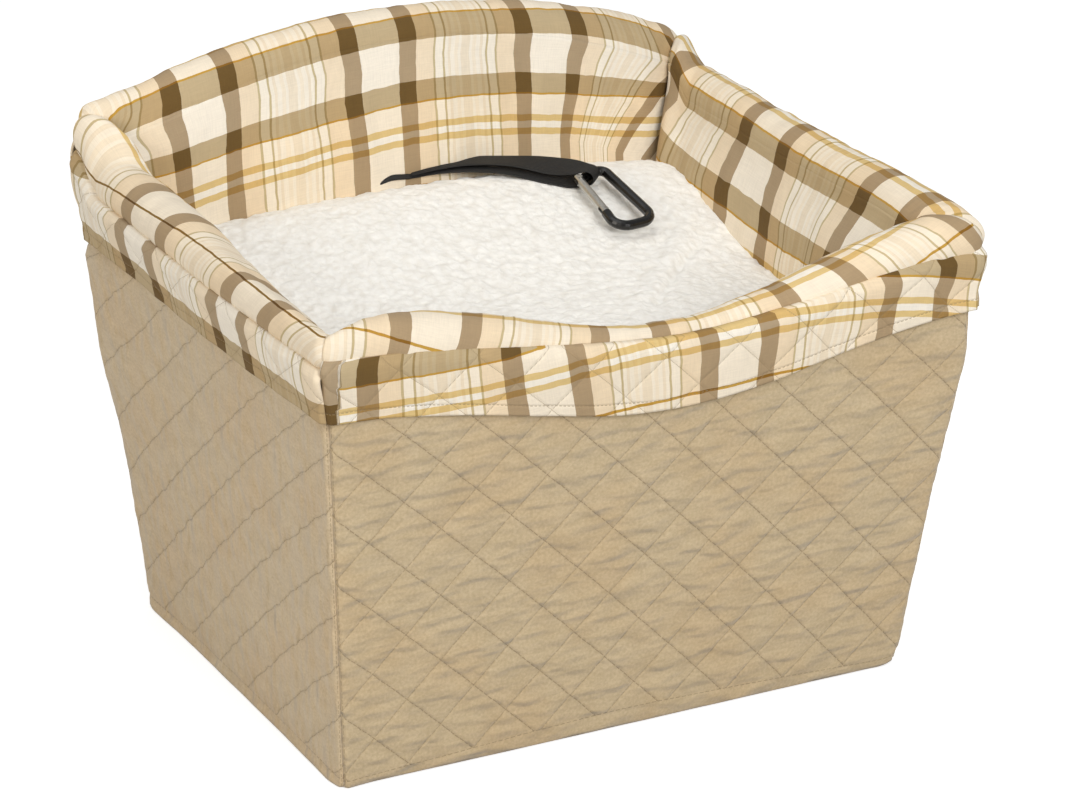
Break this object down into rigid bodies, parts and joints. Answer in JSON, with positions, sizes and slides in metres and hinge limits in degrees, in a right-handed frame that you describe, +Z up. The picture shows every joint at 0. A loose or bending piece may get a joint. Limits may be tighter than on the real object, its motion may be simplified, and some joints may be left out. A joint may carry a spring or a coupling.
{
  "type": "dog car seat",
  "caption": "Open-topped quilted booster box for a small dog in a car, with plaid padded rim and lining, raised fleece cushion and a webbing tether with a snap hook.",
  "frame": {"origin": "middle of the flat underside of the base", "axes": "+X to the seat's right, -Y out of the dipped front wall, +Z up"},
  "size_m": [0.54, 0.4719, 0.4475],
  "materials": {
    "tan_suede": "quilted brushed suede cloth",
    "plaid_cotton": "woven plaid cotton",
    "cushion_lining": "plain woven cloth",
    "white_fleece": "short looped fleece",
    "foam": "soft foam",
    "board": "plain stiff board",
    "webbing": "ribbed black webbing",
    "black_metal": "satin black",
    "steel": "bright brushed"
  },
  "bodies": {
    "seat": {"front_cover_panel": "tan_suede", "front_stiffener_board": "board", "front_liner_wall": "plaid_cotton", "front_rim_roll": "plaid_cotton", "front_rim_foam_core": "foam", "front_cuff": "plaid_cotton", "rear_cover_panel": "tan_suede", "rear_stiffener_board": "board", "rear_liner_wall": "plaid_cotton", "rear_rim_roll": "plaid_cotton", "rear_rim_foam_core": "foam", "rear_cuff": "plaid_cotton", "left_cover_panel": "tan_suede", "left_stiffener_board": "board", "left_liner_wall": "plaid_cotton", "left_rim_roll": "plaid_cotton", "left_rim_foam_core": "foam", "left_cuff": "plaid_cotton", "right_cover_panel": "tan_suede", "right_stiffener_board": "board", "right_liner_wall": "plaid_cotton", "right_rim_roll": "plaid_cotton", "right_rim_foam_core": "foam", "right_cuff": "plaid_cotton", "base_cover": "tan_suede", "base_board": "board", "deck_board": "board", "liner_floor": "plaid_cotton", "long_divider": "board", "cross_divider": "board", "cushion_case": "cushion_lining", "cushion_front_foam": "foam", "cushion_rear_foam": "foam", "fleece_top": "white_fleece", "left_belt_loop": "webbing", "right_belt_loop": "webbing", "tether_root": "webbing"},
    "tether": {"tether_strap": "webbing"},
    "carabiner": {"carabiner_body": "black_metal", "gate_rivet": "steel"},
    "gate": {"carabiner_gate": "steel", "gate_latch_pin": "steel", "gate_plunger": "steel", "gate_spring": "steel"}
  },
  "joints": [
    {"name": "tether_lift", "type": "hinge", "parent": "seat", "child": "tether", "pos_m": [-0.003, 0.1815, 0.3225], "axis": [-0.1171, -0.9464, -0.3011], "range_deg": [0, 75]},
    {"name": "carabiner_swing", "type": "hinge", "parent": "tether", "child": "carabiner", "pos_m": [0.119, 0.113, 0.3217], "axis": [-0.9088, -0.4026, -0.1098], "range_deg": [0, 100]},
    {"name": "gate_hinge", "type": "hinge", "parent": "carabiner", "child": "gate", "pos_m": [0.10791, 0.10809, 0.32036], "axis": [0, -0.2632, 0.9647], "range_deg": [0, 25], "stiffness_Nm_per_rad": 0.05, "springref_deg": -11.46}
  ]
}
